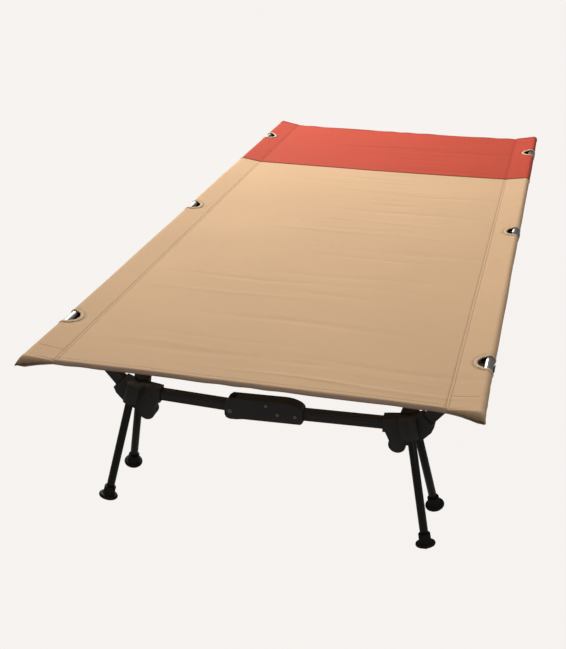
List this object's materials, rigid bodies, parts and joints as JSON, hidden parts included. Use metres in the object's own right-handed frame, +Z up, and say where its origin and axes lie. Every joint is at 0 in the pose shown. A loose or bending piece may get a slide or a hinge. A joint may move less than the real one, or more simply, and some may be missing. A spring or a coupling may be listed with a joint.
{
  "type": "folding cot",
  "caption": "Camp bed: a stretched sheet with sleeved side rails resting in clips on folding leg sets with hinged crossbars and splayed legs.",
  "frame": {"origin": "on the floor under the middle of the cot, at the centre of its bounding box in plan", "axes": "+X across the cot to the right seen from the near end, +Y along the cot towards the red end panel, +Z up"},
  "size_m": [0.893, 1.984, 0.3958],
  "materials": {
    "sand_cloth": "woven polyester, sand",
    "red_cloth": "woven polyester, brick red",
    "binding_tape": "narrow woven tape, beige",
    "hem_tape": "folded hem, brown",
    "rail_aluminium": "drawn tube, clear anodised",
    "elastic_cord": "braided elastic cord",
    "frame_black": "satin black anodised",
    "moulded_black": "fine moulded texture",
    "rivet_steel": "rolled rivet heads",
    "rubber_black": "moulded rubber"
  },
  "bodies": {
    "middle_frame": {"middle_centre_block": "moulded_black", "middle_centre_pins": "rivet_steel", "middle_bar_right": "frame_black", "middle_hub_right": "moulded_black", "middle_rail_clip_right": "moulded_black"},
    "deck": {"sheet_panel": "sand_cloth", "red_end_panel": "red_cloth", "left_sleeve": "sand_cloth", "right_sleeve": "sand_cloth", "window_bindings": "binding_tape", "end_hems": "hem_tape"},
    "rail_left": {"rail_left": "rail_aluminium", "rail_left_inserts": "rail_aluminium", "rail_left_cord": "elastic_cord"},
    "rail_right": {"rail_right": "rail_aluminium", "rail_right_inserts": "rail_aluminium", "rail_right_cord": "elastic_cord"},
    "front_frame": {"front_centre_block": "moulded_black", "front_centre_pins": "rivet_steel", "front_bar_right": "frame_black", "front_hub_right": "moulded_black", "front_rail_clip_right": "moulded_black"},
    "front_left_arm": {"front_bar_left": "frame_black", "front_hub_left": "moulded_black", "front_rail_clip_left": "moulded_black"},
    "front_leg_left_near": {"front_leg_left_near": "frame_black", "front_foot_left_near": "rubber_black"},
    "front_leg_left_far": {"front_leg_left_far": "frame_black", "front_foot_left_far": "rubber_black"},
    "front_leg_right_near": {"front_leg_right_near": "frame_black", "front_foot_right_near": "rubber_black"},
    "front_leg_right_far": {"front_leg_right_far": "frame_black", "front_foot_right_far": "rubber_black"},
    "middle_left_arm": {"middle_bar_left": "frame_black", "middle_hub_left": "moulded_black", "middle_rail_clip_left": "moulded_black"},
    "middle_leg_left_near": {"middle_leg_left_near": "frame_black", "middle_foot_left_near": "rubber_black"},
    "middle_leg_left_far": {"middle_leg_left_far": "frame_black", "middle_foot_left_far": "rubber_black"},
    "middle_leg_right_near": {"middle_leg_right_near": "frame_black", "middle_foot_right_near": "rubber_black"},
    "middle_leg_right_far": {"middle_leg_right_far": "frame_black", "middle_foot_right_far": "rubber_black"},
    "rear_frame": {"rear_centre_block": "moulded_black", "rear_centre_pins": "rivet_steel", "rear_bar_right": "frame_black", "rear_hub_right": "moulded_black", "rear_rail_clip_right": "moulded_black"},
    "rear_left_arm": {"rear_bar_left": "frame_black", "rear_hub_left": "moulded_black", "rear_rail_clip_left": "moulded_black"},
    "rear_leg_left_near": {"rear_leg_left_near": "frame_black", "rear_foot_left_near": "rubber_black"},
    "rear_leg_left_far": {"rear_leg_left_far": "frame_black", "rear_foot_left_far": "rubber_black"},
    "rear_leg_right_near": {"rear_leg_right_near": "frame_black", "rear_foot_right_near": "rubber_black"},
    "rear_leg_right_far": {"rear_leg_right_far": "frame_black", "rear_foot_right_far": "rubber_black"}
  },
  "joints": [
    {"name": "deck_lift", "type": "slide", "parent": "middle_frame", "child": "deck", "axis": [0, 0, 1], "range_m": [0, 0.12]},
    {"name": "front_frame_drop", "type": "slide", "parent": "deck", "child": "front_frame", "axis": [0, 0, 1], "range_m": [-0.12, 0]},
    {"name": "rear_frame_drop", "type": "slide", "parent": "deck", "child": "rear_frame", "axis": [0, 0, 1], "range_m": [-0.12, 0]},
    {"name": "rail_left_slide", "type": "slide", "parent": "deck", "child": "rail_left", "axis": [0, 1, 0], "range_m": [0, 1.95]},
    {"name": "rail_right_slide", "type": "slide", "parent": "deck", "child": "rail_right", "axis": [0, 1, 0], "range_m": [0, 1.95]},
    {"name": "front_fold", "type": "hinge", "parent": "front_frame", "child": "front_left_arm", "pos_m": [-0.082, -0.777, 0.224], "axis": [0, -1, 0], "range_deg": [0, 120]},
    {"name": "front_leg_left_near_fold", "type": "hinge", "parent": "front_left_arm", "child": "front_leg_left_near", "pos_m": [-0.295, -0.803, 0.238], "axis": [-0.1189, -0.9683, 0.2198], "range_deg": [0, 95]},
    {"name": "front_leg_left_far_fold", "type": "hinge", "parent": "front_left_arm", "child": "front_leg_left_far", "pos_m": [-0.295, -0.751, 0.238], "axis": [0.1189, -0.9683, -0.2198], "range_deg": [0, 95]},
    {"name": "front_leg_right_near_fold", "type": "hinge", "parent": "front_frame", "child": "front_leg_right_near", "pos_m": [0.295, -0.803, 0.238], "axis": [-0.1189, 0.9683, -0.2198], "range_deg": [0, 95]},
    {"name": "front_leg_right_far_fold", "type": "hinge", "parent": "front_frame", "child": "front_leg_right_far", "pos_m": [0.295, -0.751, 0.238], "axis": [0.1189, 0.9683, 0.2198], "range_deg": [0, 95]},
    {"name": "middle_fold", "type": "hinge", "parent": "middle_frame", "child": "middle_left_arm", "pos_m": [-0.082, 0, 0.224], "axis": [0, -1, 0], "range_deg": [0, 120]},
    {"name": "middle_leg_left_near_fold", "type": "hinge", "parent": "middle_left_arm", "child": "middle_leg_left_near", "pos_m": [-0.295, -0.026, 0.238], "axis": [-0.1189, -0.9683, 0.2198], "range_deg": [0, 95]},
    {"name": "middle_leg_left_far_fold", "type": "hinge", "parent": "middle_left_arm", "child": "middle_leg_left_far", "pos_m": [-0.295, 0.026, 0.238], "axis": [0.1189, -0.9683, -0.2198], "range_deg": [0, 95]},
    {"name": "middle_leg_right_near_fold", "type": "hinge", "parent": "middle_frame", "child": "middle_leg_right_near", "pos_m": [0.295, -0.026, 0.238], "axis": [-0.1189, 0.9683, -0.2198], "range_deg": [0, 95]},
    {"name": "middle_leg_right_far_fold", "type": "hinge", "parent": "middle_frame", "child": "middle_leg_right_far", "pos_m": [0.295, 0.026, 0.238], "axis": [0.1189, 0.9683, 0.2198], "range_deg": [0, 95]},
    {"name": "rear_fold", "type": "hinge", "parent": "rear_frame", "child": "rear_left_arm", "pos_m": [-0.082, 0.777, 0.224], "axis": [0, -1, 0], "range_deg": [0, 120]},
    {"name": "rear_leg_left_near_fold", "type": "hinge", "parent": "rear_left_arm", "child": "rear_leg_left_near", "pos_m": [-0.295, 0.751, 0.238], "axis": [-0.1189, -0.9683, 0.2198], "range_deg": [0, 95]},
    {"name": "rear_leg_left_far_fold", "type": "hinge", "parent": "rear_left_arm", "child": "rear_leg_left_far", "pos_m": [-0.295, 0.803, 0.238], "axis": [0.1189, -0.9683, -0.2198], "range_deg": [0, 95]},
    {"name": "rear_leg_right_near_fold", "type": "hinge", "parent": "rear_frame", "child": "rear_leg_right_near", "pos_m": [0.295, 0.751, 0.238], "axis": [-0.1189, 0.9683, -0.2198], "range_deg": [0, 95]},
    {"name": "rear_leg_right_far_fold", "type": "hinge", "parent": "rear_frame", "child": "rear_leg_right_far", "pos_m": [0.295, 0.803, 0.238], "axis": [0.1189, 0.9683, 0.2198], "range_deg": [0, 95]}
  ],
  "couplings": [
    {"joint": "front_frame_drop", "follows": "deck_lift", "ratio": -1},
    {"joint": "rear_frame_drop", "follows": "deck_lift", "ratio": -1}
  ]
}
